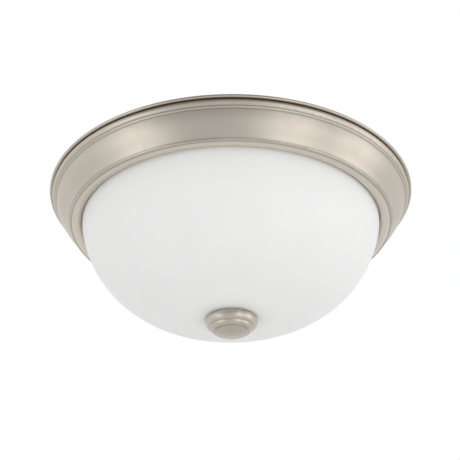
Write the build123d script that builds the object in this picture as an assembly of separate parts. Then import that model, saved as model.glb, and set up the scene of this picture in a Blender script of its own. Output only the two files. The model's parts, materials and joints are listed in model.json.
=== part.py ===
from build123d import *
import math
import os

# Flush mount ceiling light: a stepped nickel pan, an opal glass bowl carried by a finial on a centre rod,
# and two screw-base lamps in porcelain lampholders.  Millimetres, +Z up.  The origin is the centre of the
# ceiling plane, so the whole light hangs below z = 0.  Lamp 1 lies at +Y with its holder at -X.  Lamp 2 and
# its holder are lamp 1 and its holder turned half round the centre rod.

# ---- clearances ---------------------------------------------------------------------------------------
SEAT_GAP = 0.05  # between faces that rest on each other
SCREW_CLEARANCE = 0.08  # radial, round a threaded shank
HOLE_CLEARANCE = 0.1  # radial, round a fixed shank
LOOSE_FIT = 0.3  # radial, round what turns or passes freely

# ---- pan: one stamped sheet, stepped outside, flat inside ---------------------------------------------
PAN_DIAMETER = 336.0
SHEET = 0.8
HEM_RADIUS = 1.3  # rolled edge on the ceiling
RIM_BAND = 4.3  # from the rolled edge in to the upright wall
GROOVE_HEIGHT = 1.0  # the deep groove round the wall, under the rolled edge
OVOLO_LEDGE = 1.8  # how far the quarter round stands out from the wall
OVOLO_WIDTH = 2.4  # quarter round below the groove
OVOLO_DROP = 4.1
UPPER_BEAD_WIDTH = 1.6  # narrow bead between the quarter round and the band
UPPER_BEAD_DROP = 1.8
UPPER_BEAD_CROWN = 0.35
BAND_WIDTH = 12.9  # the wide band, an ogee
BAND_DROP = 20.5
BAND_CROWN = 1.0
BAND_KNEE = 0.66  # where the band turns from convex to hollow, as a share of its length
BAND_KNEE_CROWN = 0.55
LOWER_BEAD_WIDTH = 2.3
LOWER_BEAD_DROP = 1.3
LOWER_BEAD_CROWN = 0.6
ROLL_OUTER_WIDTH = 3.4  # the roll beside the glass, from the bead to its lowest circle
ROLL_INNER_WIDTH = 5.9  # and from there up to the lip
ROLL_DROP = 1.2
LIP_RISE = 3.4
WIRE_SPACE = 18.0  # between the ceiling and the flat plate

# ---- glass bowl ---------------------------------------------------------------------------------------
GLASS_WALL = 4.0
GLASS_GAP = 0.4  # between the glass and the pan's inner wall
GLASS_NECK = 8.8  # straight part, hidden in the pan
BOWL_DROP = 92.4
BOWL_SIDE_POWER = 1.6845  # the bowl's section is a squarish oval with these two powers
BOWL_BOTTOM_POWER = 2.845
BOWL_SECTION_STEPS = 8
GLASS_HOLE_RADIUS = 6.6

# ---- centre rod and its nuts (1/8 IP threaded tube) ---------------------------------------------------
ROD_RADIUS = 4.8
ROD_BORE_RADIUS = 3.1
ROD_PITCH = 0.94
ROD_THREAD = 0.5
ROD_ABOVE_PLATE = 9.0
ROD_TOP_TURNS = 16
ROD_LOWER_TURNS = 26
NUT_FLATS = 14.3
NUT_HEIGHT = 4.0
NUT_CHAMFER = 0.6
LOCK_WASHER_RADIUS = 8.2
LOCK_WASHER_THICKNESS = 1.2
LOCK_WASHER_SPLIT = 1.6

# ---- finial: washer, spun cup and threaded knob -------------------------------------------------------
GROMMET_SHOULDER_RADIUS = 9.5
GROMMET_SHOULDER = 1.5
WASHER_RADIUS = 20.5
WASHER_THICKNESS = 1.6
CUP_RADIUS = 23.2
CUP_SHEET = 0.9
CUP_LAND = 4.4  # flat top that bears on the washer
CUP_EDGE_RADIUS = 1.2
CUP_UPPER_DROP = 6.4
CUP_UPPER_INSET = 3.4
CUP_STEP = 0.6
CUP_LOWER_DROP = 3.7
CUP_LOWER_INSET = 3.6
CUP_LOWER_CROWN = 0.6
KNOB_RADIUS = 14.9
KNOB_EDGE = 0.3
KNOB_RING_DROP = 1.0
KNOB_RING_WIDTH = 2.8
KNOB_RING_CROWN = 0.25
KNOB_STEP = 0.35
KNOB_DOME = 2.0
KNOB_NECK_RADIUS = 8.0
KNOB_NECK = 9.0
KNOB_FLOOR = 1.6  # of the threaded bore, above the dome's rim
ROD_TO_FLOOR = 0.9

# ---- lamps: A19 shape, medium screw base --------------------------------------------------------------
LAMP_OFFSET = 40.0  # of a lamp's axis from the rod
LAMP_DROP = 35.2  # of the axis below the plate
LAMP_LENGTH = 112.0
LAMP_RADIUS = 30.0
LAMP_DOME = 42.0  # length of the diffuser
DIFFUSER_WALL = 1.2
HOUSING_WALL = 2.4
HOUSING_DECK = 2.4
HOUSING_NECK_RADIUS = 13.7
HOUSING_NECK = 4.0
SPIGOT = 3.0
SPIGOT_CLEARANCE = 0.15
BASE_RADIUS = 13.1  # crest of the lamp's screw shell
BASE_THREAD = 0.7
BASE_PITCH = 3.63
BASE_TURNS = 6
BASE_SHEET = 0.4
INSULATOR_LENGTH = 2.2
INSULATOR_RADIUS = 6.4
CONTACT_RADIUS = 4.6
CONTACT_HEIGHT = 1.4
CONTACT_EDGE = 0.5
LED_BOARD_THICKNESS = 1.6
LED_RING_RADIUS = 15.5
LED_COUNT = 12
LED_SIDE = 3.0
LED_HEIGHT = 0.8

# ---- lampholders, their contacts and brackets ---------------------------------------------------------
HOLDER_INSET = 30.0  # of a holder's back from the glass
HOLDER_RADIUS = 19.0
HOLDER_WAIST_RADIUS = 18.0
HOLDER_BACK = 12.0
HOLDER_LIP = 4.0
HOLDER_EDGE = 0.8
HOLDER_MOUTH_GAP = 2.0  # between the holder's mouth and the lamp's housing
SHELL_GAP = 0.25  # between the lamp's crest and the holder's shell
SHELL_SHEET = 0.4
SHELL_HOLE_RADIUS = 7.8
LEAF_WIDTH = 5.0
LEAF_SHEET = 0.5
LEAF_RISE = 2.5
LEAF_FOOT = 4.0
LEAF_RAMP = 2.0
LEAF_TONGUE = 5.5
LEAF_TONGUE_START = -1.0  # from the lamp's axis
LEAF_RIVET_RADIUS = 1.0
LEAF_RIVET_HEAD_RADIUS = 1.8
LEAF_RIVET_HEAD = 0.6
LEAF_RIVET_DEPTH = 4.0
BRACKET_WIDTH = 25.0
BRACKET_SHEET = 1.2
BRACKET_BEND = 1.5
BRACKET_FOOT = 24.0
BRACKET_TAIL = 13.0  # below the lamp's axis
BRACKET_CORNER = 4.0
HOLDER_SCREW_RADIUS = 1.9
HOLDER_SCREW_DEPTH = 6.0
HOLDER_SCREW_PITCH = 0.8
HOLDER_SCREW_THREAD = 0.3
HOLDER_SCREW_TURNS = 6
HOLDER_SCREW_SPACING = 18.0
HOLDER_SCREW_HEAD_RADIUS = 3.4
HOLDER_SCREW_HEAD = 2.0
RIVET_RADIUS = 2.0
RIVET_HEAD_RADIUS = 3.6
RIVET_HEAD = 1.3
RIVET_SPACING = 14.0
RIVET_PLACE = 14.0  # from the bracket's leg

# ---- ceiling crossbar and its screws ------------------------------------------------------------------
BAR_LENGTH = 116.0
BAR_WIDTH = 20.0
BAR_SHEET = 2.0
BAR_CORNER = 4.0
BAR_CENTRE_HOLE_RADIUS = 5.2
BOX_SLOT_SPACING = 79.4  # centre to centre: the slots take box screws 70 to 89 mm apart
BOX_SLOT_LENGTH = 14.3
BOX_SLOT_RADIUS = 2.4
PAN_SCREW_INSET = 5.0  # of a mounting screw from the crossbar's end
PAN_SCREW_RADIUS = 2.05
PAN_SCREW_PITCH = 0.794
PAN_SCREW_THREAD = 0.35
PAN_SCREW_TURNS = 12
PAN_SCREW_HEAD_RADIUS = 4.1
PAN_SCREW_HEAD = 2.6
SCREW_TIP_GAP = 0.2  # below the ceiling plane
KEYHOLE_RADIUS = 5.0
KEYHOLE_TRAVEL = 9.0
GROUND_SCREW_X = 22.0
GROUND_SCREW_RADIUS = 2.3
GROUND_SCREW_HEAD_RADIUS = 4.6
GROUND_SCREW_HEAD = 2.4
RECESS_WIDTH = 0.9  # cross recess in a screw head
RECESS_SHARE = 0.6  # of the head's radius
RECESS_DEPTH = 1.2

# ---- insulation pad, bushing, wire nuts and leads -----------------------------------------------------
PAD_THICKNESS = 10.0
PAD_OPENING_RADIUS = 64.0
PAD_EDGE_GAP = 5.0
PAD_GAP = 0.2
PAD_HOLE_GAP = 0.5
BUSHING_Y = 18.0
BUSHING_RADIUS = 5.6
BUSHING_FLANGE_RADIUS = 7.6
BUSHING_FLANGE = 1.2
BUSHING_SNAP = 0.7
BUSHING_SNAP_LENGTH = 1.6
BUSHING_BORE_RADIUS = 4.0
LEAD_DIAMETER = 2.0
LEAD_PITCH = 2.6  # between the centres of neighbouring leads
LEAD_WAY_1 = [(-32.0, 16.0), (-60.0, 20.0)]  # seen from above, from the bushing to holder 1
LEAD_WAY_2 = [(30.0, 1.5), (60.0, -20.0)]  # and to holder 2
LEAD_RUN_DROP = 7.7  # of the upper leads below the plate
BEND_SHARE = 0.45  # of a run that its arc takes up
LEAD_ENTRY = 6.4  # of the lead holes from the holder's back
LEAD_HOLE_CLEARANCE = 0.25
LEAD_DEPTH = 7.6  # into the holder
LEAD_IN_NUT = 9.0
NUT_REACH = 18.0  # of a wire nut's mouth from its leads' bushing
WIRE_NUT_ANGLE = 37.0  # of a wire nut's axis from +Y
WIRE_NUT_LENGTH = 23.0
WIRE_NUT_MOUTH_RADIUS = 6.0
WIRE_NUT_TIP_RADIUS = 4.2
WIRE_NUT_BORE_RADIUS = 2.8
WIRE_NUT_BORE = 12.0
WIRE_NUT_GAP = 0.25  # above the plate
WIRE_NUT_WING = 2.2
WIRE_NUT_WING_THICKNESS = 2.0

# ---- places that follow from the sizes above ----------------------------------------------------------
PAN_RADIUS = PAN_DIAMETER / 2
UPRIGHT_RADIUS = PAN_RADIUS - RIM_BAND
OVOLO_RADIUS = UPRIGHT_RADIUS + OVOLO_LEDGE
UPPER_BEAD_RADIUS = OVOLO_RADIUS - OVOLO_WIDTH
BAND_RADIUS = UPPER_BEAD_RADIUS - UPPER_BEAD_WIDTH
LOWER_BEAD_RADIUS = BAND_RADIUS - BAND_WIDTH
ROLL_RADIUS = LOWER_BEAD_RADIUS - LOWER_BEAD_WIDTH
ROLL_BOTTOM_RADIUS = ROLL_RADIUS - ROLL_OUTER_WIDTH
LIP_RADIUS = ROLL_BOTTOM_RADIUS - ROLL_INNER_WIDTH
OVOLO_Z = -2 * HEM_RADIUS - GROOVE_HEIGHT
UPPER_BEAD_Z = OVOLO_Z - OVOLO_DROP
BAND_Z = UPPER_BEAD_Z - UPPER_BEAD_DROP
LOWER_BEAD_Z = BAND_Z - BAND_DROP
ROLL_Z = LOWER_BEAD_Z - LOWER_BEAD_DROP
PAN_BOTTOM_Z = ROLL_Z - ROLL_DROP
LIP_Z = PAN_BOTTOM_Z + LIP_RISE
PLATE_TOP_Z = -WIRE_SPACE
PLATE_Z = PLATE_TOP_Z - SHEET

GLASS_RADIUS = LIP_RADIUS - GLASS_GAP
BOWL_TOP_Z = PLATE_Z - GLASS_NECK
BOWL_BOTTOM_Z = BOWL_TOP_Z - BOWL_DROP

WASHER_TOP_Z = BOWL_BOTTOM_Z - SEAT_GAP
CUP_TOP_Z = WASHER_TOP_Z - WASHER_THICKNESS - SEAT_GAP
CUP_EDGE_Z = CUP_TOP_Z - CUP_EDGE_RADIUS
CUP_STEP_Z = CUP_EDGE_Z - CUP_UPPER_DROP
CUP_BOTTOM_Z = CUP_STEP_Z - CUP_LOWER_DROP
KNOB_TOP_Z = CUP_BOTTOM_Z - SEAT_GAP
KNOB_RING_Z = KNOB_TOP_Z - KNOB_EDGE - KNOB_RING_DROP
KNOB_BOTTOM_Z = KNOB_RING_Z - KNOB_DOME
KNOB_FLOOR_Z = KNOB_RING_Z + KNOB_FLOOR
NECK_TOP_Z = KNOB_TOP_Z + KNOB_NECK
ROD_BORED_RADIUS = ROD_RADIUS + SCREW_CLEARANCE
ROD_TOP_Z = PLATE_TOP_Z + ROD_ABOVE_PLATE
ROD_BOTTOM_Z = KNOB_FLOOR_Z + ROD_TO_FLOOR

PAN_SCREW_SPACING = BAR_LENGTH - 2 * PAN_SCREW_INSET

LAMP_AXIS_Z = PLATE_Z - LAMP_DROP
HOLDER_X = -(GLASS_RADIUS - GLASS_WALL - HOLDER_INSET)
CONTACT_X = HOLDER_X + HOLDER_BACK + LEAF_RISE + SEAT_GAP
BASE_START = CONTACT_HEIGHT + INSULATOR_LENGTH
BASE_END = BASE_START + BASE_PITCH * BASE_TURNS
DOME_START = LAMP_LENGTH - LAMP_DOME
DOME_CENTRE = LAMP_LENGTH - LAMP_RADIUS
DOME_SEAT_RADIUS = math.sqrt(LAMP_RADIUS**2 - (DOME_CENTRE - DOME_START) ** 2)
BASE_INNER_RADIUS = BASE_RADIUS - BASE_THREAD - BASE_SHEET
HOLDER_LENGTH = HOLDER_BACK + LEAF_RISE + BASE_END - HOLDER_MOUTH_GAP
SHELL_MINOR_RADIUS = BASE_RADIUS + SHELL_GAP
SHELL_OUTER_RADIUS = SHELL_MINOR_RADIUS + BASE_THREAD + SHELL_SHEET
HOLDER_BORE_RADIUS = SHELL_OUTER_RADIUS + LOOSE_FIT
FOOT_Z = PLATE_Z - SEAT_GAP - BRACKET_SHEET
RIVET_X = HOLDER_X + RIVET_PLACE
LEAD_HOLE_X = HOLDER_X + LEAD_ENTRY
LEAD_RADIUS = LEAD_DIAMETER / 2
LEAD_HOLE_RADIUS = LEAD_RADIUS + LEAD_HOLE_CLEARANCE
LEAD_END_Z = LAMP_AXIS_Z + HOLDER_RADIUS - LEAD_DEPTH
LEAD_RUN_Z = PLATE_Z - LEAD_RUN_DROP
WIRE_NUT_Z = PLATE_TOP_Z + WIRE_NUT_MOUTH_RADIUS + WIRE_NUT_GAP
PAD_RADIUS = LIP_RADIUS + SHEET - PAD_EDGE_GAP
PAD_Z = PLATE_TOP_Z + PAD_GAP


# ---- helpers: sections are drawn as (radius, height) and turned about Z -------------------------------
def at(radius, height):
    return (radius, 0, height)


def line(start, end):
    return Line(at(*start), at(*end))


def bulge(start, end, crown):
    """An arc from start to end that stands out by crown, to the left of the way it goes."""
    dr = end[0] - start[0]
    dz = end[1] - start[1]
    length = math.hypot(dr, dz)
    middle = ((start[0] + end[0]) / 2 - dz / length * crown, (start[1] + end[1]) / 2 + dr / length * crown)
    return ThreePointArc(at(*start), at(*middle), at(*end))


def turned(edges):
    return revolve(make_face(edges), Axis.Z)


def lathe(*points):
    return revolve(make_face(Polyline(*[at(*point) for point in points], close=True)), Axis.Z)


def ring(outer, inner, low, high):
    return lathe((inner, low), (outer, low), (outer, high), (inner, high))


def disc(radius, low, high):
    return ring(radius, 0, low, high)


def sheet_section(skin, thickness):
    """Section of a sheet that lies to the right of a drawn skin, going along it."""
    return make_face(offset(Wire(skin), amount=thickness, side=Side.RIGHT, closed=True).edges())


def pressed(skin, thickness):
    return revolve(sheet_section(skin, thickness), Axis.Z)


def threaded(crest, depth, pitch, turns, start):
    """Outline of a stretch of ring thread, upwards from start."""
    outline = [(crest - depth, start)]
    for turn in range(turns):
        outline.append((crest, start + pitch * (turn + 0.5)))
        outline.append((crest - depth, start + pitch * (turn + 1)))
    return outline


def hexagon(flats, bore, low, high):
    """A hexagon nut with its corners turned off at both ends."""
    corner = flats / math.sqrt(3)
    prism = Pos(0, 0, low) * extrude(RegularPolygon(corner, 6), high - low)
    blank = lathe((bore, low), (corner - NUT_CHAMFER, low), (corner, low + NUT_CHAMFER),
                  (corner, high - NUT_CHAMFER), (corner - NUT_CHAMFER, high), (bore, high))
    return prism & blank


def cross_recess(radius, low, depth):
    """A cross cut upwards into a screw head whose lowest face is at low."""
    bar = Box(2 * radius * RECESS_SHARE, RECESS_WIDTH, 2 * depth)
    return Pos(0, 0, low) * (bar + Rot(0, 0, 90) * bar)


def machine_screw(shank, thread, pitch, turns, length, head_radius, head):
    """A pan-head screw: its head below z = 0, its shank up to length, its thread at the tip."""
    plain = length - pitch * turns
    thread_outline = threaded(shank, thread, pitch, turns, plain)
    shaft = lathe((0, 0), (shank - thread, 0), *thread_outline, (0, length))
    edges = [line((0, 0), (head_radius, 0)),
             line((head_radius, 0), (head_radius, -head / 2)),
             TangentArc(at(0, -head), at(head_radius, -head / 2), tangent=(1, 0, 0)),
             line((0, -head), (0, 0))]
    return shaft + turned(edges) - cross_recess(head_radius, -head, RECESS_DEPTH)


def in_holder(shape):
    """From a holder's own frame, its back at 0 and its mouth along +Z, to holder 1's place."""
    return Pos(HOLDER_X, LAMP_OFFSET, LAMP_AXIS_Z) * Rot(0, 90, 0) * shape


def in_lamp(shape):
    """From a lamp's own frame, its contact at 0 and its dome along +Z, to lamp 1's place."""
    return Pos(CONTACT_X, LAMP_OFFSET, LAMP_AXIS_Z) * Rot(0, 90, 0) * shape


def half_turn(shape):
    return Rot(0, 0, 180) * shape


# ---- places of repeated features ----------------------------------------------------------------------
RIVET_PLACES = [(RIVET_X, LAMP_OFFSET + side * RIVET_SPACING / 2) for side in (-1, 1)]
RIVET_PLACES += [(-x, -y) for x, y in RIVET_PLACES]
PAN_SCREW_PLACES = [(-PAN_SCREW_SPACING / 2, 0), (PAN_SCREW_SPACING / 2, 0)]


# ---- pan ----------------------------------------------------------------------------------------------
def band_skin(start, end):
    """The wide band: an arc that stands out, then one that runs on from it to the bead."""
    length = math.hypot(end[0] - start[0], end[1] - start[1])
    out = ((start[1] - end[1]) / length, (end[0] - start[0]) / length)

    def on_band(share, crown):
        return (start[0] + (end[0] - start[0]) * share + out[0] * crown,
                start[1] + (end[1] - start[1]) * share + out[1] * crown)

    knee = on_band(BAND_KNEE, BAND_KNEE_CROWN)
    upper = ThreePointArc(at(*start), at(*on_band(BAND_KNEE / 2, BAND_CROWN)), at(*knee))
    return [upper, TangentArc(at(*knee), at(*end), tangent=upper % 1)]


def hem():
    """The rolled edge, with a flat land on the ceiling."""
    inner = UPRIGHT_RADIUS - SHEET
    outer = PAN_RADIUS - HEM_RADIUS
    low = -2 * HEM_RADIUS
    return turned([line((inner, 0), (outer, 0)),
                   ThreePointArc(at(outer, 0), at(PAN_RADIUS, -HEM_RADIUS), at(outer, low)),
                   line((outer, low), (inner, low)), line((inner, low), (inner, 0))])


def keyhole(x, turn):
    """Cut for a screw at x on the X axis: it enters to one side and slides to its place."""
    reach = -turn * KEYHOLE_TRAVEL
    entry = Pos(x, reach, PLATE_Z) * Cylinder(KEYHOLE_RADIUS, 4 * SHEET)
    end = Pos(x, 0, PLATE_Z) * Cylinder(PAN_SCREW_RADIUS + LOOSE_FIT, 4 * SHEET)
    slot = Pos(x, reach / 2, PLATE_Z) * Box(2 * (PAN_SCREW_RADIUS + LOOSE_FIT), KEYHOLE_TRAVEL, 4 * SHEET)
    return entry + end + slot


def pan():
    groove = (UPRIGHT_RADIUS, OVOLO_Z)
    ovolo = (OVOLO_RADIUS, OVOLO_Z)
    upper_bead = (UPPER_BEAD_RADIUS, UPPER_BEAD_Z)
    band = (BAND_RADIUS, BAND_Z)
    lower_bead = (LOWER_BEAD_RADIUS, LOWER_BEAD_Z)
    roll = (ROLL_RADIUS, ROLL_Z)
    bottom = (ROLL_BOTTOM_RADIUS, PAN_BOTTOM_Z)
    lip = (LIP_RADIUS, LIP_Z)
    corner = (LIP_RADIUS, PLATE_Z)
    skin = [line((UPRIGHT_RADIUS, 0), groove),
            line(groove, ovolo),
            TangentArc(at(*ovolo), at(*upper_bead), tangent=(0, 0, -1)),
            bulge(upper_bead, band, UPPER_BEAD_CROWN),
            *band_skin(band, lower_bead),
            bulge(lower_bead, roll, LOWER_BEAD_CROWN),
            TangentArc(at(*bottom), at(*roll), tangent=(1, 0, 0)),
            TangentArc(at(*bottom), at(*lip), tangent=(-1, 0, 0)),
            line(lip, corner),
            line(corner, (ROD_RADIUS + HOLE_CLEARANCE, PLATE_Z))]
    shell = pressed(skin, SHEET) + hem()
    shell -= Pos(0, BUSHING_Y, PLATE_Z) * Cylinder(BUSHING_RADIUS + HOLE_CLEARANCE, 4 * SHEET)
    for x, y in RIVET_PLACES:
        shell -= Pos(x, y, PLATE_Z) * Cylinder(RIVET_RADIUS + HOLE_CLEARANCE, 4 * SHEET)
    for x, _ in PAN_SCREW_PLACES:
        shell -= keyhole(x, math.copysign(1, x))
    return shell


# ---- ceiling crossbar, its screws and the pad ---------------------------------------------------------
def crossbar():
    bar = Pos(0, 0, -BAR_SHEET / 2) * Box(BAR_LENGTH, BAR_WIDTH, BAR_SHEET)
    bar = fillet(bar.edges().filter_by(Axis.Z), BAR_CORNER)
    bar -= Cylinder(BAR_CENTRE_HOLE_RADIUS, 4 * BAR_SHEET)
    bar -= Pos(GROUND_SCREW_X, 0, 0) * Cylinder(GROUND_SCREW_RADIUS + SCREW_CLEARANCE, 4 * BAR_SHEET)
    slot = extrude(SlotOverall(BOX_SLOT_LENGTH, 2 * BOX_SLOT_RADIUS), 2 * BAR_SHEET, both=True)
    for side in (-1, 1):
        bar -= Pos(side * BOX_SLOT_SPACING / 2, 0, 0) * slot
    for x, y in PAN_SCREW_PLACES:
        bar -= Pos(x, y, 0) * Cylinder(PAN_SCREW_RADIUS + SCREW_CLEARANCE, 4 * BAR_SHEET)
    return bar


def mounting_screws():
    seat = PLATE_Z - SEAT_GAP
    screw = machine_screw(PAN_SCREW_RADIUS, PAN_SCREW_THREAD, PAN_SCREW_PITCH, PAN_SCREW_TURNS,
                          -SCREW_TIP_GAP - seat, PAN_SCREW_HEAD_RADIUS, PAN_SCREW_HEAD)
    return [Pos(x, y, seat) * screw for x, y in PAN_SCREW_PLACES]


def ground_screw():
    seat = -BAR_SHEET - SEAT_GAP
    shank = disc(GROUND_SCREW_RADIUS, seat, -SCREW_TIP_GAP)
    washer = disc(GROUND_SCREW_HEAD_RADIUS, seat - GROUND_SCREW_HEAD / 3, seat)
    corner = GROUND_SCREW_HEAD_RADIUS * math.sqrt(3) / 2
    head = Pos(0, 0, seat - GROUND_SCREW_HEAD) * extrude(RegularPolygon(corner, 6), GROUND_SCREW_HEAD)
    screw = shank + washer + head - cross_recess(corner, seat - GROUND_SCREW_HEAD, RECESS_DEPTH)
    return Pos(GROUND_SCREW_X, 0, 0) * screw


def insulation_pad():
    pad = ring(PAD_RADIUS, PAD_OPENING_RADIUS, PAD_Z, PAD_Z + PAD_THICKNESS)
    for x, y in RIVET_PLACES:
        pad -= Pos(x, y, PAD_Z) * Cylinder(RIVET_HEAD_RADIUS + PAD_HOLE_GAP, 4 * PAD_THICKNESS)
    return pad


# ---- centre rod ---------------------------------------------------------------------------------------
def center_rod():
    plain = ROD_RADIUS - ROD_THREAD / 2
    upper_start = ROD_TOP_Z - ROD_PITCH * ROD_TOP_TURNS
    lower = threaded(ROD_RADIUS, ROD_THREAD, ROD_PITCH, ROD_LOWER_TURNS, ROD_BOTTOM_Z)
    upper = threaded(ROD_RADIUS, ROD_THREAD, ROD_PITCH, ROD_TOP_TURNS, upper_start)
    return lathe((ROD_BORE_RADIUS, ROD_BOTTOM_Z), *lower, (plain, lower[-1][1]),
                 (plain, upper_start), *upper, (ROD_BORE_RADIUS, ROD_TOP_Z))


def rod_lock_washer():
    low = PLATE_TOP_Z + SEAT_GAP
    washer = ring(LOCK_WASHER_RADIUS, ROD_RADIUS + HOLE_CLEARANCE, low, low + LOCK_WASHER_THICKNESS)
    split = Box(LOCK_WASHER_RADIUS * 2, LOCK_WASHER_SPLIT, LOCK_WASHER_THICKNESS * 4)
    return washer - Pos(-LOCK_WASHER_RADIUS, 0, low) * split


def rod_top_nut():
    low = PLATE_TOP_Z + LOCK_WASHER_THICKNESS + 2 * SEAT_GAP
    return hexagon(NUT_FLATS, ROD_BORED_RADIUS, low, low + NUT_HEIGHT)


def rod_lower_nut():
    high = PLATE_Z - SEAT_GAP
    return hexagon(NUT_FLATS, ROD_BORED_RADIUS, high - NUT_HEIGHT, high)


# ---- glass bowl and finial ----------------------------------------------------------------------------
def bowl_point(angle, inset):
    """A point of the bowl's section: angle 0 at the neck, 90 degrees at the bottom, inset square to it."""
    across = math.cos(angle) ** (2 / BOWL_BOTTOM_POWER)
    down = math.sin(angle) ** (2 / BOWL_SIDE_POWER)
    slope_r = BOWL_BOTTOM_POWER / GLASS_RADIUS * across ** (BOWL_BOTTOM_POWER - 1)
    slope_z = BOWL_SIDE_POWER / BOWL_DROP * down ** (BOWL_SIDE_POWER - 1)
    size = math.hypot(slope_r, slope_z)
    return (GLASS_RADIUS * across - inset * slope_r / size,
            BOWL_TOP_Z - BOWL_DROP * down + inset * slope_z / size)


def bowl_curve(inset):
    angles = [math.pi / 2 * step / BOWL_SECTION_STEPS for step in range(1, BOWL_SECTION_STEPS)]
    points = [(GLASS_RADIUS - inset, BOWL_TOP_Z)]
    points += [bowl_point(angle, inset) for angle in angles]
    points += [(0, BOWL_BOTTOM_Z + inset)]
    return Spline(*[at(*point) for point in points], tangents=[(0, 0, -1), (-1, 0, 0)])


def glass_bowl():
    rim_z = PLATE_Z - SEAT_GAP
    inner = GLASS_RADIUS - GLASS_WALL
    bowl = turned([bowl_curve(0),
                   line((0, BOWL_BOTTOM_Z), (0, BOWL_BOTTOM_Z + GLASS_WALL)),
                   bowl_curve(GLASS_WALL),
                   line((inner, BOWL_TOP_Z), (inner, rim_z)),
                   line((inner, rim_z), (GLASS_RADIUS, rim_z)),
                   line((GLASS_RADIUS, rim_z), (GLASS_RADIUS, BOWL_TOP_Z))])
    return bowl - Pos(0, 0, BOWL_BOTTOM_Z) * Cylinder(GLASS_HOLE_RADIUS, 4 * GLASS_WALL)


def glass_grommet():
    """A flanged fibre bush that keeps the rod off the glass."""
    floor = BOWL_BOTTOM_Z + GLASS_WALL + HOLE_CLEARANCE
    sleeve = GLASS_HOLE_RADIUS - HOLE_CLEARANCE
    return lathe((ROD_BORED_RADIUS, BOWL_BOTTOM_Z), (sleeve, BOWL_BOTTOM_Z), (sleeve, floor),
                 (GROMMET_SHOULDER_RADIUS, floor), (GROMMET_SHOULDER_RADIUS, floor + GROMMET_SHOULDER),
                 (ROD_BORED_RADIUS, floor + GROMMET_SHOULDER))


def finial_washer():
    return ring(WASHER_RADIUS, ROD_BORED_RADIUS, WASHER_TOP_Z - WASHER_THICKNESS, WASHER_TOP_Z)


def finial_cup():
    """A spun cup of two rounded steps, open at the top, with a hole for the knob's neck."""
    edge = CUP_RADIUS - CUP_EDGE_RADIUS
    step = CUP_RADIUS - CUP_UPPER_INSET
    shoulder = step - CUP_STEP
    foot = shoulder - CUP_LOWER_INSET
    rim = TangentArc(at(edge, CUP_TOP_Z), at(CUP_RADIUS, CUP_EDGE_Z), tangent=(1, 0, 0))
    skin = [line((edge - CUP_LAND, CUP_TOP_Z), (edge, CUP_TOP_Z)), rim,
            TangentArc(at(CUP_RADIUS, CUP_EDGE_Z), at(step, CUP_STEP_Z), tangent=(0, 0, -1)),
            line((step, CUP_STEP_Z), (shoulder, CUP_STEP_Z)),
            bulge((shoulder, CUP_STEP_Z), (foot, CUP_BOTTOM_Z), CUP_LOWER_CROWN),
            line((foot, CUP_BOTTOM_Z), (KNOB_NECK_RADIUS + LOOSE_FIT, CUP_BOTTOM_Z))]
    return pressed(skin, CUP_SHEET)


def finial_knob():
    """A turned knob: a stepped, domed face below, and a threaded neck that reaches up into the cup."""
    ring_top = KNOB_TOP_Z - KNOB_EDGE
    ring_inner = KNOB_RADIUS - KNOB_RING_WIDTH
    dome = ring_inner - KNOB_STEP
    return turned([
        line((0, KNOB_FLOOR_Z), (ROD_BORED_RADIUS, KNOB_FLOOR_Z)),
        line((ROD_BORED_RADIUS, KNOB_FLOOR_Z), (ROD_BORED_RADIUS, NECK_TOP_Z)),
        line((ROD_BORED_RADIUS, NECK_TOP_Z), (KNOB_NECK_RADIUS, NECK_TOP_Z)),
        line((KNOB_NECK_RADIUS, NECK_TOP_Z), (KNOB_NECK_RADIUS, KNOB_TOP_Z)),
        line((KNOB_NECK_RADIUS, KNOB_TOP_Z), (KNOB_RADIUS, KNOB_TOP_Z)),
        line((KNOB_RADIUS, KNOB_TOP_Z), (KNOB_RADIUS, ring_top)),
        bulge((KNOB_RADIUS, ring_top), (ring_inner, KNOB_RING_Z), KNOB_RING_CROWN),
        line((ring_inner, KNOB_RING_Z), (dome, KNOB_RING_Z)),
        TangentArc(at(0, KNOB_BOTTOM_Z), at(dome, KNOB_RING_Z), tangent=(1, 0, 0)),
        line((0, KNOB_BOTTOM_Z), (0, KNOB_FLOOR_Z))])


# ---- lampholder, in its own frame ---------------------------------------------------------------------
def leaf_rivet_place():
    """Along the leaf, the middle of its foot."""
    return LEAF_TONGUE_START - LEAF_RAMP - LEAF_FOOT / 2


def holder_screw_places():
    return [side * HOLDER_SCREW_SPACING / 2 for side in (-1, 1)]


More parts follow.
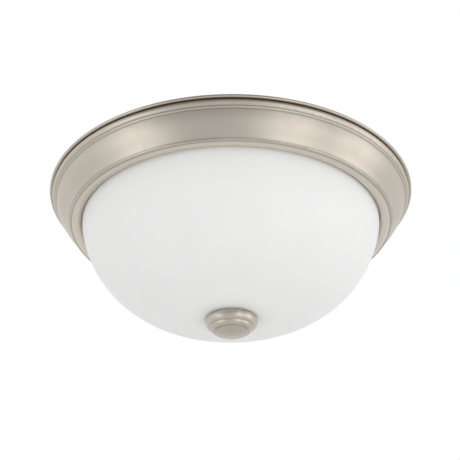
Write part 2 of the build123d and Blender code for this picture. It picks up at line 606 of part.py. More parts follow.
def holder_body():
    waist_start = HOLDER_BACK + HOLDER_RADIUS - HOLDER_WAIST_RADIUS
    lip_start = HOLDER_LENGTH - HOLDER_LIP
    lip_radius = (HOLDER_RADIUS + HOLDER_WAIST_RADIUS) / 2
    body = lathe((0, 0), (HOLDER_RADIUS - HOLDER_EDGE, 0), (HOLDER_RADIUS, HOLDER_EDGE),
                 (HOLDER_RADIUS, HOLDER_BACK), (HOLDER_WAIST_RADIUS, waist_start),
                 (HOLDER_WAIST_RADIUS, lip_start), (lip_radius, lip_start + HOLDER_EDGE),
                 (lip_radius, HOLDER_LENGTH - HOLDER_EDGE), (lip_radius - HOLDER_EDGE, HOLDER_LENGTH),
                 (HOLDER_BORE_RADIUS + HOLDER_EDGE, HOLDER_LENGTH),
                 (HOLDER_BORE_RADIUS, HOLDER_LENGTH - HOLDER_EDGE),
                 (HOLDER_BORE_RADIUS, HOLDER_BACK), (0, HOLDER_BACK))
    hole_floor = HOLDER_SCREW_DEPTH + LOOSE_FIT
    screw_hole = disc(HOLDER_SCREW_RADIUS + SCREW_CLEARANCE, -HOLDER_SCREW_DEPTH, hole_floor)
    for y in holder_screw_places():
        body -= Pos(0, y, 0) * screw_hole
    rivet_hole = disc(LEAF_RIVET_RADIUS + HOLE_CLEARANCE, HOLDER_BACK - LEAF_RIVET_DEPTH, 2 * HOLDER_BACK)
    return body - Pos(0, leaf_rivet_place(), 0) * rivet_hole


def holder_shell():
    """The brass screw shell: pressed ring threads, turned in at the bottom round the leaf."""
    low = HOLDER_BACK + SEAT_GAP
    crest = SHELL_MINOR_RADIUS + BASE_THREAD
    outside = threaded(crest + SHELL_SHEET, BASE_THREAD, BASE_PITCH, BASE_TURNS, low)
    inside = threaded(crest, BASE_THREAD, BASE_PITCH, BASE_TURNS, low)[:0:-1]
    return lathe((SHELL_HOLE_RADIUS, low), *outside, *inside, (SHELL_MINOR_RADIUS, low + SHELL_SHEET),
                 (SHELL_HOLE_RADIUS, low + SHELL_SHEET))


def holder_leaf():
    """The centre contact: a strip riveted to the porcelain, with a raised tongue under the lamp."""
    low = HOLDER_BACK + SEAT_GAP
    high = HOLDER_BACK + LEAF_RISE - LEAF_SHEET
    ramp = LEAF_TONGUE_START - LEAF_RAMP
    under = [(ramp - LEAF_FOOT, low), (ramp, low), (LEAF_TONGUE_START, high),
             (LEAF_TONGUE_START + LEAF_TONGUE, high)]
    over = [(y, z + LEAF_SHEET) for y, z in reversed(under)]
    section = make_face(Polyline(*[at(*point) for point in under + over], close=True))
    strip = Rot(0, 0, 90) * extrude(section, LEAF_WIDTH / 2, both=True)
    hole = Cylinder(LEAF_RIVET_RADIUS + HOLE_CLEARANCE, 4 * LEAF_SHEET)
    return strip - Pos(0, leaf_rivet_place(), low) * hole


def leaf_rivet():
    seat = HOLDER_BACK + LEAF_SHEET + 2 * SEAT_GAP
    shank = disc(LEAF_RIVET_RADIUS, HOLDER_BACK - LEAF_RIVET_DEPTH + SEAT_GAP, seat)
    head = disc(LEAF_RIVET_HEAD_RADIUS, seat, seat + LEAF_RIVET_HEAD)
    return Pos(0, leaf_rivet_place(), 0) * (shank + head)


def holder_screws():
    seat = -BRACKET_SHEET - 2 * SEAT_GAP
    screw = machine_screw(HOLDER_SCREW_RADIUS, HOLDER_SCREW_THREAD, HOLDER_SCREW_PITCH, HOLDER_SCREW_TURNS,
                          HOLDER_SCREW_DEPTH - seat, HOLDER_SCREW_HEAD_RADIUS, HOLDER_SCREW_HEAD)
    return [Pos(0, y, seat) * screw for y in holder_screw_places()]


# ---- bracket and rivets, in the light's frame ---------------------------------------------------------
def bracket():
    """A bent strip: its foot is riveted under the plate, its leg carries the holder's back."""
    back = HOLDER_X - SEAT_GAP - BRACKET_SHEET
    top = PLATE_Z - SEAT_GAP
    low = LAMP_AXIS_Z - BRACKET_TAIL
    skin = FilletPolyline(at(back, low), at(back, top), at(back + BRACKET_SHEET + BRACKET_FOOT, top),
                          radius=BRACKET_BEND + BRACKET_SHEET)
    strip = extrude(sheet_section(skin.edges(), BRACKET_SHEET), BRACKET_WIDTH / 2, both=True)
    strip = fillet(strip.edges().filter_by(Axis.X).group_by(Axis.Z)[0], BRACKET_CORNER)
    strip = fillet(strip.edges().filter_by(Axis.Z).group_by(Axis.X)[-1], BRACKET_CORNER)
    strip = Pos(0, LAMP_OFFSET, 0) * strip
    for x, y in RIVET_PLACES:
        strip -= Pos(x, y, top) * Cylinder(RIVET_RADIUS + HOLE_CLEARANCE, 4 * BRACKET_SHEET)
    for y in holder_screw_places():
        hole = Cylinder(HOLDER_SCREW_RADIUS + HOLE_CLEARANCE, 4 * BRACKET_SHEET)
        strip -= in_holder(Pos(0, y, 0) * hole)
    return strip


def bracket_rivets():
    low = FOOT_Z - SEAT_GAP
    high = PLATE_TOP_Z + SEAT_GAP
    foot_pole = (0, low - RIVET_HEAD)
    top_pole = (0, high + RIVET_HEAD)
    rivet = turned([TangentArc(at(*foot_pole), at(RIVET_HEAD_RADIUS, low), tangent=(1, 0, 0)),
                    line((RIVET_HEAD_RADIUS, low), (RIVET_RADIUS, low)),
                    line((RIVET_RADIUS, low), (RIVET_RADIUS, high)),
                    line((RIVET_RADIUS, high), (RIVET_HEAD_RADIUS, high)),
                    TangentArc(at(*top_pole), at(RIVET_HEAD_RADIUS, high), tangent=(1, 0, 0)),
                    line(top_pole, foot_pole)])
    return [Pos(x, y, 0) * rivet for x, y in RIVET_PLACES]


# ---- lamp, in its own frame ---------------------------------------------------------------------------
def lamp_contact():
    return lathe((0, 0), (CONTACT_RADIUS - CONTACT_EDGE, 0), (CONTACT_RADIUS, CONTACT_EDGE),
                 (CONTACT_RADIUS, CONTACT_HEIGHT), (0, CONTACT_HEIGHT))


def lamp_insulator():
    """Black glass cone round the contact, with a spigot inside the screw shell."""
    pocket = CONTACT_RADIUS + SPIGOT_CLEARANCE
    spigot = BASE_INNER_RADIUS - SPIGOT_CLEARANCE
    floor = CONTACT_HEIGHT + SEAT_GAP
    return lathe((pocket, CONTACT_EDGE), (INSULATOR_RADIUS, CONTACT_EDGE),
                 (BASE_RADIUS - BASE_THREAD, BASE_START), (spigot, BASE_START),
                 (spigot, BASE_START + SPIGOT), (0, BASE_START + SPIGOT), (0, floor), (pocket, floor))


def lamp_screw_shell():
    outside = threaded(BASE_RADIUS, BASE_THREAD, BASE_PITCH, BASE_TURNS, BASE_START + SEAT_GAP)
    inside = [(radius - BASE_SHEET, height) for radius, height in reversed(outside)]
    return lathe(*outside, *inside)


def lamp_housing():
    """The flared body: a spigot in the screw shell, a hollow skirt, and a deck under the LED board."""
    low = BASE_END + 2 * SEAT_GAP
    neck = low + HOUSING_NECK
    spigot = BASE_INNER_RADIUS - SPIGOT_CLEARANCE
    deck = DOME_START - LED_BOARD_THICKNESS - SEAT_GAP
    rim = DOME_SEAT_RADIUS - HOUSING_WALL
    hollow = spigot - HOUSING_WALL
    flare = [(0, 0, 1), (DOME_CENTRE - DOME_START, 0, DOME_SEAT_RADIUS)]
    outer_neck = (HOUSING_NECK_RADIUS, neck)
    outer_rim = (DOME_SEAT_RADIUS, DOME_START)
    inner_neck = (HOUSING_NECK_RADIUS - HOUSING_WALL, neck)
    inner_rim = (rim - HOUSING_WALL, deck - HOUSING_DECK)
    return turned([
        line((hollow, BASE_END - SPIGOT), (spigot, BASE_END - SPIGOT)),
        line((spigot, BASE_END - SPIGOT), (spigot, low)),
        line((spigot, low), (HOUSING_NECK_RADIUS, low)),
        line((HOUSING_NECK_RADIUS, low), outer_neck),
        Spline(at(*outer_neck), at(*outer_rim), tangents=flare),
        line(outer_rim, (rim, DOME_START)),
        line((rim, DOME_START), (rim, deck)),
        line((rim, deck), (0, deck)),
        line((0, deck), (0, deck - HOUSING_DECK)),
        line((0, deck - HOUSING_DECK), inner_rim),
        Spline(at(*inner_neck), at(*inner_rim), tangents=flare),
        line(inner_neck, (hollow, low)),
        line((hollow, low), (hollow, BASE_END - SPIGOT))])


def lamp_led_board():
    board = DOME_SEAT_RADIUS - HOUSING_WALL - SPIGOT_CLEARANCE
    return disc(board, DOME_START - LED_BOARD_THICKNESS, DOME_START)


def lamp_leds():
    low = DOME_START + SEAT_GAP
    led = Pos(LED_RING_RADIUS, 0, low + LED_HEIGHT / 2) * Box(LED_SIDE, LED_SIDE, LED_HEIGHT)
    return [Rot(0, 0, 360 * index / LED_COUNT) * led for index in range(LED_COUNT)]


def lamp_diffuser():
    low = DOME_START + SEAT_GAP

    def half_dome(radius):
        seat = (math.sqrt(radius**2 - (DOME_CENTRE - low) ** 2), low)
        return seat, ThreePointArc(at(*seat), at(radius, DOME_CENTRE), at(0, DOME_CENTRE + radius))

    outer_seat, outer = half_dome(LAMP_RADIUS)
    inner_seat, inner = half_dome(LAMP_RADIUS - DIFFUSER_WALL)
    crown = (0, DOME_CENTRE + LAMP_RADIUS)
    return turned([outer, line(crown, (0, crown[1] - DIFFUSER_WALL)), inner, line(inner_seat, outer_seat)])


# ---- bushing, wire nuts and leads ---------------------------------------------------------------------
def wire_bushing():
    seat = PLATE_TOP_Z + SEAT_GAP
    top = seat + BUSHING_FLANGE
    below = PLATE_Z - SEAT_GAP
    low = below - BUSHING_SNAP_LENGTH
    bush = lathe((BUSHING_BORE_RADIUS, top), (BUSHING_FLANGE_RADIUS, top), (BUSHING_FLANGE_RADIUS, seat),
                 (BUSHING_RADIUS, seat), (BUSHING_RADIUS, below), (BUSHING_RADIUS + BUSHING_SNAP, below),
                 (BUSHING_RADIUS - BUSHING_SNAP, low), (BUSHING_BORE_RADIUS, low))
    return Pos(0, BUSHING_Y, 0) * bush


def nut_way(side):
    """Direction, seen from above, from the bushing to the wire nut on one side."""
    angle = math.radians(WIRE_NUT_ANGLE)
    return (side * math.sin(angle), math.cos(angle))


def wire_nut(side):
    """A winged twist-on connector that lies on the plate with its mouth to the bushing."""
    shoulder = WIRE_NUT_LENGTH - WIRE_NUT_TIP_RADIUS / 2
    cap = lathe((WIRE_NUT_BORE_RADIUS, 0), (WIRE_NUT_MOUTH_RADIUS, 0),
                (WIRE_NUT_MOUTH_RADIUS, WIRE_NUT_WING), (WIRE_NUT_TIP_RADIUS, shoulder),
                (WIRE_NUT_TIP_RADIUS / 2, WIRE_NUT_LENGTH), (0, WIRE_NUT_LENGTH),
                (0, WIRE_NUT_BORE), (WIRE_NUT_BORE_RADIUS, WIRE_NUT_BORE))
    reach = WIRE_NUT_MOUTH_RADIUS + WIRE_NUT_WING
    outline = Polyline(at(-reach, 0), at(reach, 0), at(WIRE_NUT_TIP_RADIUS, WIRE_NUT_BORE),
                       at(-WIRE_NUT_TIP_RADIUS, WIRE_NUT_BORE), close=True)
    wings = extrude(make_face(outline), WIRE_NUT_WING_THICKNESS / 2, both=True)
    cap += wings - disc(WIRE_NUT_TIP_RADIUS, -WIRE_NUT_BORE, 2 * WIRE_NUT_BORE)
    way = nut_way(side)
    place = Pos(side * LEAD_PITCH / 2 + way[0] * NUT_REACH, BUSHING_Y + way[1] * NUT_REACH, WIRE_NUT_Z)
    return place * Rot(0, 0, -side * WIRE_NUT_ANGLE) * Rot(-90, 0, 0) * cap


def lead_hole_place(holder, upper):
    """Where a lead goes down into a holder: the two holes lie along the leads' last run."""
    centre = Vector(holder * LEAD_HOLE_X, holder * LAMP_OFFSET)
    way = LEAD_WAY_1 if holder == 1 else LEAD_WAY_2
    step = LEAD_PITCH / 2 if upper else -LEAD_PITCH / 2
    place = centre + (centre - Vector(*way[-1])).normalized() * step
    return (place.X, place.Y)


def lead_route(side, holder):
    """Corners of a lead's route.  Side -1 is black and 1 white; holder 1 is at -X and -1 at +X."""
    upper = side * holder < 0
    column = (side * LEAD_PITCH / 2, BUSHING_Y + holder * LEAD_PITCH / 2)
    way = nut_way(side)
    reach = NUT_REACH + LEAD_IN_NUT
    nut_z = WIRE_NUT_Z - holder * LEAD_PITCH / 2
    run_z = LEAD_RUN_Z if upper else LEAD_RUN_Z - LEAD_PITCH
    hole = lead_hole_place(holder, upper)
    middle = [(*point, run_z) for point in (LEAD_WAY_1 if holder == 1 else LEAD_WAY_2)]
    end_in_nut = (column[0] + way[0] * reach, column[1] + way[1] * reach, nut_z)
    return [end_in_nut, (*column, nut_z), (*column, run_z), *middle, (*hole, run_z), (*hole, LEAD_END_Z)]


def bend_radius(before, corner, after):
    """As large as the shorter of the two runs lets it be."""
    first = Vector(*corner) - Vector(*before)
    second = Vector(*after) - Vector(*corner)
    half_turn_angle = math.radians(first.get_angle(second)) / 2
    return BEND_SHARE * min(first.length, second.length) / math.tan(half_turn_angle)


def lead(side, holder):
    route = lead_route(side, holder)
    radii = [bend_radius(*route[index:index + 3]) for index in range(len(route) - 2)]
    path = FilletPolyline(*route, radius=radii)
    tube = sweep(Plane(path @ 0, z_dir=path % 0) * Circle(LEAD_RADIUS), path)
    drift = tube.volume / (math.pi * LEAD_RADIUS**2 * path.length) - 1
    print("lead", side, holder, "length", round(path.length, 1), "radii", [round(r, 1) for r in radii],
          "volume off by", round(drift, 5))
    return tube


def lead_holes():
    """Cut for the two leads in the top of holder 1."""
    places = [lead_hole_place(1, upper) for upper in (True, False)]
    return [Pos(x, y, LEAD_END_Z) * disc(LEAD_HOLE_RADIUS, 0, 2 * LEAD_DEPTH) for x, y in places]


# ---- the whole light ----------------------------------------------------------------------------------
def light():
    """Every piece by its name; a list is a group of alike solids."""
    pieces = {
        "pan": pan(),
        "crossbar": crossbar(),
        "mounting_screws": mounting_screws(),
        "ground_screw": ground_screw(),
        "insulation_pad": insulation_pad(),
        "center_rod": center_rod(),
        "rod_lock_washer": rod_lock_washer(),
        "rod_top_nut": rod_top_nut(),
        "rod_lower_nut": rod_lower_nut(),
        "wire_bushing": wire_bushing(),
        "wire_nuts": [wire_nut(-1), wire_nut(1)],
        "glass_bowl": glass_bowl(),
        "glass_grommet": glass_grommet(),
        "finial_washer": finial_washer(),
        "finial_cup": finial_cup(),
        "finial_knob": finial_knob(),
        "bracket_rivets": bracket_rivets(),
    }
    for side, colour in ((-1, "black"), (1, "white")):
        for holder, number in ((1, 1), (-1, 2)):
            pieces[f"lead_{colour}_{number}"] = lead(side, holder)
    body = in_holder(holder_body())
    for hole in lead_holes():
        body -= hole
    screws = [in_holder(screw) for screw in holder_screws()]
    rivet = in_holder(leaf_rivet())
    pieces["socket_screws"] = screws + [half_turn(screw) for screw in screws]
    pieces["socket_contact_rivets"] = [rivet, half_turn(rivet)]
    first = {
        "socket_body": body,
        "socket_shell": in_holder(holder_shell()),
        "socket_contact": in_holder(holder_leaf()),
        "socket_bracket": bracket(),
        "bulb_contact": in_lamp(lamp_contact()),
        "bulb_insulator": in_lamp(lamp_insulator()),
        "bulb_screw_shell": in_lamp(lamp_screw_shell()),
        "bulb_housing": in_lamp(lamp_housing()),
        "bulb_led_board": in_lamp(lamp_led_board()),
        "bulb_leds": [in_lamp(led) for led in lamp_leds()],
        "bulb_diffuser": in_lamp(lamp_diffuser()),
    }
    for name, piece in first.items():
        alike = isinstance(piece, list)
        pieces[f"{name}_1"] = piece
        pieces[f"{name}_2"] = [half_turn(copy) for copy in piece] if alike else half_turn(piece)
    return pieces


if __name__ == "__main__":
    os.makedirs("parts", exist_ok=True)
    for name, piece in light().items():
        shape = Compound(children=piece) if isinstance(piece, list) else piece
        export_step(shape, f"parts/{name}.step")
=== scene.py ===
import json
import math

import bmesh
import bpy
from mathutils import Matrix, Vector, noise


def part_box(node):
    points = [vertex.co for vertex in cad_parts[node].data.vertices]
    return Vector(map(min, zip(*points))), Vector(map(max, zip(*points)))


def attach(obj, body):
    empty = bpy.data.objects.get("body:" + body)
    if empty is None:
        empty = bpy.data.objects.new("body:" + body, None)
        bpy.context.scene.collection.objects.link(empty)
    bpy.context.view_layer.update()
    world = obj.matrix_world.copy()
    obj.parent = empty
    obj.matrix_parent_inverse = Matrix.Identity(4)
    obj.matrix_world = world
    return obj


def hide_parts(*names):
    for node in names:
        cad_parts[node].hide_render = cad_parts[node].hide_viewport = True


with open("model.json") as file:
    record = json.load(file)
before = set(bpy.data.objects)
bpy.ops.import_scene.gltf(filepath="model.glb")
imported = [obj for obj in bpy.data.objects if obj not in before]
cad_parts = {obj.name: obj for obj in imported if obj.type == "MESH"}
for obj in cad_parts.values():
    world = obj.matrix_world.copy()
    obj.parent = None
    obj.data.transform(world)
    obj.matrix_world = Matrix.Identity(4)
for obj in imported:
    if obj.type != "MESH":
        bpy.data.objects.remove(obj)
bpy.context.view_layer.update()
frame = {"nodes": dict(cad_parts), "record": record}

# The looks of a flush mount ceiling light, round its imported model.
# Metres, +Z up, the ceiling plane at z = 0, the camera on the -Y side.
MM = 0.001

# ---- camera: a long lens, below the light and in front of it ------------------------------------------
CAMERA_DISTANCE = 1.008  # from the centre of the ceiling plane
CAMERA_BELOW = 31.5  # degrees under the horizontal
CAMERA_AIM = (-0.0008, 0, -0.0298)
CAMERA_ROLL = -0.35  # degrees
LENS = 83.95
SENSOR = 36.0

# ---- studio -------------------------------------------------------------------------------------------
LAMP_DISTANCE = 1.5
LAMP_AIM = (0, 0, -0.06)
# name, degrees round from the camera (right is positive), degrees above the horizontal, width, height, level
LAMPS = [
    ("left_box", -58, -23, 0.6, 1.2, 1.0),
    ("right_box", 38, -23, 0.75, 1.2, 1.06),
    ("far_right_box", 80, -14, 0.7, 1.0, 0.95),
]
SOFT_LIGHT = 0.79  # what the studio's walls throw on everything
WHITE = (1, 1, 1)

# What polished metal sees of the walls, by the Y and the Z of the direction in which it looks.
WALL_FRONT_Y, WALL_SIDE_Y = -0.75, -0.15
WALL_FRONT_LOSS = 0.5  # how much darker than white the wall is in front
WALL_LOW_Z, WALL_HIGH_Z = 0.15, 0.4
WALL_HIGH_LOSS = 1.6  # that loss again, this many times, above the camera
WALL_DARKEST = 0.2

FLOOR_Z = -1.3
FLOOR_SIZE = 12.0
FLOOR_SHADES = ((0.90, 0.90, 0.90), (0.94, 0.94, 0.94))
FLOOR_PLAIN_FROM, FLOOR_PLAIN_TO = 2.2, 5.2  # how far off the floor turns to plain white for the camera
FLOOR_PLAIN_SHARE = 0.8  # how plain it is nearer than that, so that it keeps the light's shadow
FLOOR_MIRRORED_FROM, FLOOR_MIRRORED_TO = 2.15, 3.0  # how far off it turns white for polished metal
FLOOR_MIRRORED_SHARE = 0.8
FLOOR_FRONT_Y, FLOOR_BACK_Y = -3.0, -0.8  # in front, where the camera stands, it stays grey for metal

# ---- sizes that repeat the model's --------------------------------------------------------------------
GROOVE_OUTER = 166.6 * MM  # the groove under the pan's rolled edge, darkened with a brown painted shade
GROOVE_TOP = -2.5 * MM
GROOVE_BOTTOM = -3.7 * MM
CREASES = (163.1 * MM, 161.5 * MM, 148.6 * MM, 146.3 * MM)  # where painted shade darkens the pan's creases beside its beads
CREASE_REACH = 0.55 * MM
ROLL_OUTER = 146.3 * MM  # the roll beside the glass, which gets a painted highlight
ROLL_INNER = 137.0 * MM
RIVET_X = 88.4 * MM  # the rivets of the lampholders' brackets, under the pad
RIVET_Y = (33.0 * MM, 47.0 * MM)
BUSHING_Y = 18.0 * MM  # the bush that the leads pass through
LEAD_PITCH = 2.6 * MM

# ---- insulation pad -----------------------------------------------------------------------------------
PAD_OPENING = 64.0 * MM
PAD_EDGE = 1.6 * MM  # rounding of the upper edges
PAD_BELLY = 0.3 * MM  # how far the cut edges bulge
PAD_BELLY_HEIGHT = 0.35  # share of the way up
PAD_INSET = 0.4 * MM  # room for the outer edge's raggedness inside the model's pad
PAD_HEADROOM = 0.5 * MM  # and for the foil's creases
PAD_STEPS = 540  # round the pad
PAD_TOP_STEPS = 56  # across its top
PAD_RIVET_HOLE = 4.1 * MM
PAD_HOLE_SEGMENTS = 40
PAD_FOIL_DEPTH = 2.4 * MM  # the foil is turned down over the edges by this much
FOIL_RIDGES = ((38, 0.55 * MM), (95, 0.33 * MM), (230, 0.14 * MM))  # ridges a metre, and their height
FOIL_MIDDLE = 0.6  # share of a ridge that stays under the foil's mean height
FOIL_SLACK = 0.9 * MM
FOIL_SLACK_WAVES = 17  # a metre
FOIL_SINK = 0.5 * MM
WOOL_RAGGED = 0.35 * MM
WOOL_RAGGED_WAVES = (190, 190, 400)  # a metre, along X, Y and Z

# ---- wire nuts, each turned round its own Z, from its mouth at 0 to its tip ---------------------------
NUT_ANGLE = math.radians(37.0)  # from +Y, to the left and to the right
NUT_REACH = 18.0 * MM  # from the bush to the mouth
NUT_LENGTH = 23.0 * MM
NUT_MOUTH = 6.0 * MM  # radius
NUT_LIP = 0.4 * MM
NUT_RIM = 2.2 * MM  # height of the plain ring at the mouth
NUT_RIM_STEP = 0.35 * MM
NUT_RIM_BEVEL = 0.5 * MM
NUT_TIP = 4.2 * MM  # radius
NUT_TIP_END = 0.3 * MM
NUT_BORE = 2.8 * MM  # radius
NUT_BORE_LENGTH = 12.0 * MM
NUT_CHAMFER_WIDTH = 0.8 * MM
NUT_CHAMFER_DEPTH = 1.2 * MM
NUT_CONE_STEPS = 22
NUT_TIP_STEPS = 6
NUT_FLUTES = 20
NUT_STEPS = 8 * NUT_FLUTES
FLUTE_DEPTH = 0.28 * MM
FLUTE_START = NUT_RIM + 2.0 * MM
FLUTE_END = NUT_LENGTH - NUT_TIP / 2
FLUTE_FADE = 2.0 * MM
WING_HALF = 1.0 * MM  # half of an ear's thickness
WING_ROOT = 4.0 * MM
WING_EDGE = NUT_MOUTH + 2.2 * MM
# height along the cap, and how far from its axis the ear's edge is there
WING_ROWS = [
    (0.0, WING_EDGE - 0.5 * MM),
    (1.2 * MM, WING_EDGE),
    (4.0 * MM, WING_EDGE - 0.8 * MM),
    (8.0 * MM, NUT_TIP + 2.0 * MM),
    (NUT_BORE_LENGTH, NUT_TIP + 0.3 * MM),
]


# ---- shader helpers -----------------------------------------------------------------------------------
def feed(tree, socket, value):
    """Links another node's output to the socket, or sets a value on it; a colour needs no alpha."""
    if isinstance(value, bpy.types.NodeSocket):
        tree.links.new(value, socket)
    else:
        socket.default_value = (*value, 1) if socket.type == "RGBA" else value


def add(tree, kind, inputs=None, **settings):
    """A node with its settings and inputs."""
    made = tree.nodes.new(kind)
    for key, value in settings.items():
        setattr(made, key, value)
    for key, value in (inputs or {}).items():
        feed(tree, made.inputs[key], value)
    return made


def maths(tree, operation, *values):
    return add(tree, "ShaderNodeMath", dict(enumerate(values)), operation=operation).outputs[0]


def place(tree):
    """The point on the piece, in the row frame."""
    return add(tree, "ShaderNodeTexCoord").outputs["Object"]


def radius_and_height(tree):
    """The point's distance from the Z axis, and its height."""
    split = add(tree, "ShaderNodeSeparateXYZ", {0: place(tree)})
    flat = add(tree, "ShaderNodeCombineXYZ", {0: split.outputs[0], 1: split.outputs[1]})
    radius = add(tree, "ShaderNodeVectorMath", {0: flat.outputs[0]}, operation="LENGTH").outputs["Value"]
    return radius, split.outputs[2]


def stretched(tree, vector, factors):
    return add(tree, "ShaderNodeVectorMath", {0: vector, 1: factors}, operation="MULTIPLY").outputs[0]


def cloud(tree, vector, scale, detail, rough=0.55, distortion=0.0):
    """Noise from 0 to 1, mostly near the middle; scale is in features a metre."""
    inputs = {"Vector": vector, "Scale": scale, "Detail": detail, "Roughness": rough,
              "Distortion": distortion}
    return add(tree, "ShaderNodeTexNoise", inputs).outputs["Fac"]


def cells(tree, vector, scale, feature):
    """Distances in a pattern of cells; scale is in cells a metre."""
    inputs = {"Vector": vector, "Scale": scale}
    return add(tree, "ShaderNodeTexVoronoi", inputs, feature=feature).outputs["Distance"]


def spread(tree, value, low, high, out_low=0.0, out_high=1.0):
    """Maps low..high of a value to out_low..out_high, held at both ends."""
    inputs = {"Value": value, "From Min": low, "From Max": high, "To Min": out_low, "To Max": out_high}
    return add(tree, "ShaderNodeMapRange", inputs).outputs["Result"]


def tint(tree, share, first, second):
    """Colour mixed from first to second."""
    return add(tree, "ShaderNodeMix", {0: share, 6: first, 7: second}, data_type="RGBA").outputs[2]


def bump(tree, height, distance, strength, below=None):
    """A normal bumped by a height, over the normal of another bump where there is one."""
    inputs = {"Height": height, "Distance": distance, "Strength": strength}
    if below is not None:
        inputs["Normal"] = below
    return add(tree, "ShaderNodeBump", inputs).outputs["Normal"]


def drive(tree, shader, **inputs):
    """Feeds the shader's sockets, Base_Color=... and so on."""
    for key, value in inputs.items():
        feed(tree, shader.inputs[key.replace("_", " ")], value)


def principled(name, **constants):
    """A material, its tree and its shader; what is the same all over is set on the shader's own sockets."""
    material = bpy.data.materials.new(name)
    material.use_nodes = True
    tree = material.node_tree
    shader = tree.nodes["Principled BSDF"]
    drive(tree, shader, **constants)
    return material, tree, shader


def scaled(colour, factor):
    return tuple(min(1.0, channel * factor) for channel in colour)


def seen(tree):
    """1 for rays that show the background: from the camera, and through what transmits."""
    path = add(tree, "ShaderNodeLightPath")
    return maths(tree, "MAXIMUM", path.outputs["Is Camera Ray"], path.outputs["Is Transmission Ray"])


def mirrored(tree):
    """1 for rays that polished surfaces send out."""
    return add(tree, "ShaderNodeLightPath").outputs["Is Glossy Ray"]


# ---- metals -------------------------------------------------------------------------------------------
def in_groove(tree, radius, height):
    """1 in the groove under the pan's rolled edge, where the painted shade goes, 0 elsewhere."""
    below = spread(tree, height, GROOVE_BOTTOM - 0.2 * MM, GROOVE_BOTTOM + 0.1 * MM)
    above = spread(tree, height, GROOVE_TOP - 0.1 * MM, GROOVE_TOP + 0.1 * MM, 1.0, 0.0)
    inside = spread(tree, radius, GROOVE_OUTER - 0.6 * MM, GROOVE_OUTER + 0.2 * MM, 1.0, 0.0)
    return maths(tree, "MULTIPLY", maths(tree, "MULTIPLY", below, above), inside)


def in_creases(tree, radius):
    """1 along the pan's creases, where the painted shade goes, fading to 0 on both sides."""
    found = 0.0
    for crease in CREASES:
        off = maths(tree, "ABSOLUTE", maths(tree, "SUBTRACT", radius, crease))
        found = maths(tree, "MAXIMUM", found, spread(tree, off, 0.0, CREASE_REACH, 1.0, 0.0))
    return found


def on_roll(tree, radius):
    """1 on the roll beside the glass, where a painted highlight goes, and 0 elsewhere."""
    within = spread(tree, radius, ROLL_OUTER - 1.2 * MM, ROLL_OUTER, 1.0, 0.0)
    without = spread(tree, radius, ROLL_INNER - 0.8 * MM, ROLL_INNER - 0.2 * MM)
    return maths(tree, "MULTIPLY", within, without)


def spun_metal(name, colour, rough):
    """Plated sheet finished on a lathe: fine rings round Z, faint clouds, softer where it was handled;
    painted shade in its groove and creases, a painted highlight on its roll.
    """
    groove_shade_brown = (0.5, 0.39, 0.28)
    material, tree, shader = principled(name, Metallic=1.0, IOR=1.5)
    where = place(tree)
    radius, height = radius_and_height(tree)
    turned = add(tree, "ShaderNodeCombineXYZ", {0: radius, 1: height}).outputs[0]
    rings = cloud(tree, turned, 2600.0, 4.0, 0.6)
    clouds = cloud(tree, where, 14.0, 4.0, 0.6)
    smudges = cloud(tree, where, 55.0, 3.0, 0.5, 0.6)
    grain = cloud(tree, where, 1500.0, 2.0)
    shades = tint(tree, spread(tree, clouds, 0.35, 0.68), scaled(colour, 0.94), scaled(colour, 1.03))
    streaked = tint(tree, spread(tree, rings, 0.3, 0.75, 0.0, 0.35), shades, scaled(colour, 0.84))
    # painted highlight: the roll beside the glass made brighter than the rest of the metal
    shiny = maths(tree, "MULTIPLY", on_roll(tree, radius), 0.75)
    roll_highlighted = tint(tree, shiny, streaked, scaled(colour, 1.35))
    # painted shade: darker lines along the pan's creases
    pooled_glaze_and_crease_shade = tint(tree, in_creases(tree, radius), roll_highlighted, scaled(colour, 0.66))
    # painted shade: a brown that darkens the groove under the pan's rolled edge
    groove_shaded = tint(tree, in_groove(tree, radius, height), pooled_glaze_and_crease_shade, groove_shade_brown)
    softness = maths(tree, "ADD", spread(tree, rings, 0.3, 0.7, rough - 0.03, rough + 0.03),
                     spread(tree, smudges, 0.5, 0.8, 0.0, 0.07))
    relief = bump(tree, rings, 0.02 * MM, 0.35)
    relief = bump(tree, grain, 0.01 * MM, 0.25, relief)
    drive(tree, shader, Base_Color=groove_shaded, Roughness=softness, Normal=relief)
    return material


def plated_steel(name, colour, stain, rough):
    """Zinc or nickel plate: a passivated tint in clouds, short scratches, a little dulling."""
    material, tree, shader = principled(name, Metallic=1.0, IOR=1.5)
    where = place(tree)
    clouds = cloud(tree, where, 70.0, 4.0, 0.6, 0.4)
    spots = cloud(tree, where, 600.0, 3.0, 0.7)
    scratches = cloud(tree, stretched(tree, where, (220.0, 2600.0, 1400.0)), 1.0, 2.0, 0.5, 0.3)
    passivated = tint(tree, spread(tree, clouds, 0.4, 0.65), colour, stain)
    dulled = tint(tree, spread(tree, spots, 0.6, 0.8, 0.0, 0.35), passivated, scaled(stain, 0.6))
    softness = maths(tree, "ADD", spread(tree, clouds, 0.3, 0.7, rough - 0.05, rough + 0.07),
                     spread(tree, scratches, 0.62, 0.72, 0.0, 0.12))
    relief = bump(tree, scratches, 0.02 * MM, 0.4)
    drive(tree, shader, Base_Color=dulled, Roughness=softness, Normal=relief)
    return material


def bright_brass():
    """Brass that was drawn bright, with tarnish in clouds."""
    bright, dark = (0.80, 0.60, 0.29), (0.56, 0.38, 0.17)
    material, tree, shader = principled("brass", Metallic=1.0, IOR=1.5)
    where = place(tree)
    tarnish = cloud(tree, where, 160.0, 4.0, 0.65, 0.5)
    drawn = cloud(tree, where, 2200.0, 2.0)
    body = tint(tree, spread(tree, tarnish, 0.42, 0.7), bright, dark)
    softness = spread(tree, tarnish, 0.35, 0.7, 0.2, 0.4)
    relief = bump(tree, drawn, 0.01 * MM, 0.3)
    drive(tree, shader, Base_Color=body, Roughness=softness, Normal=relief)
    return material


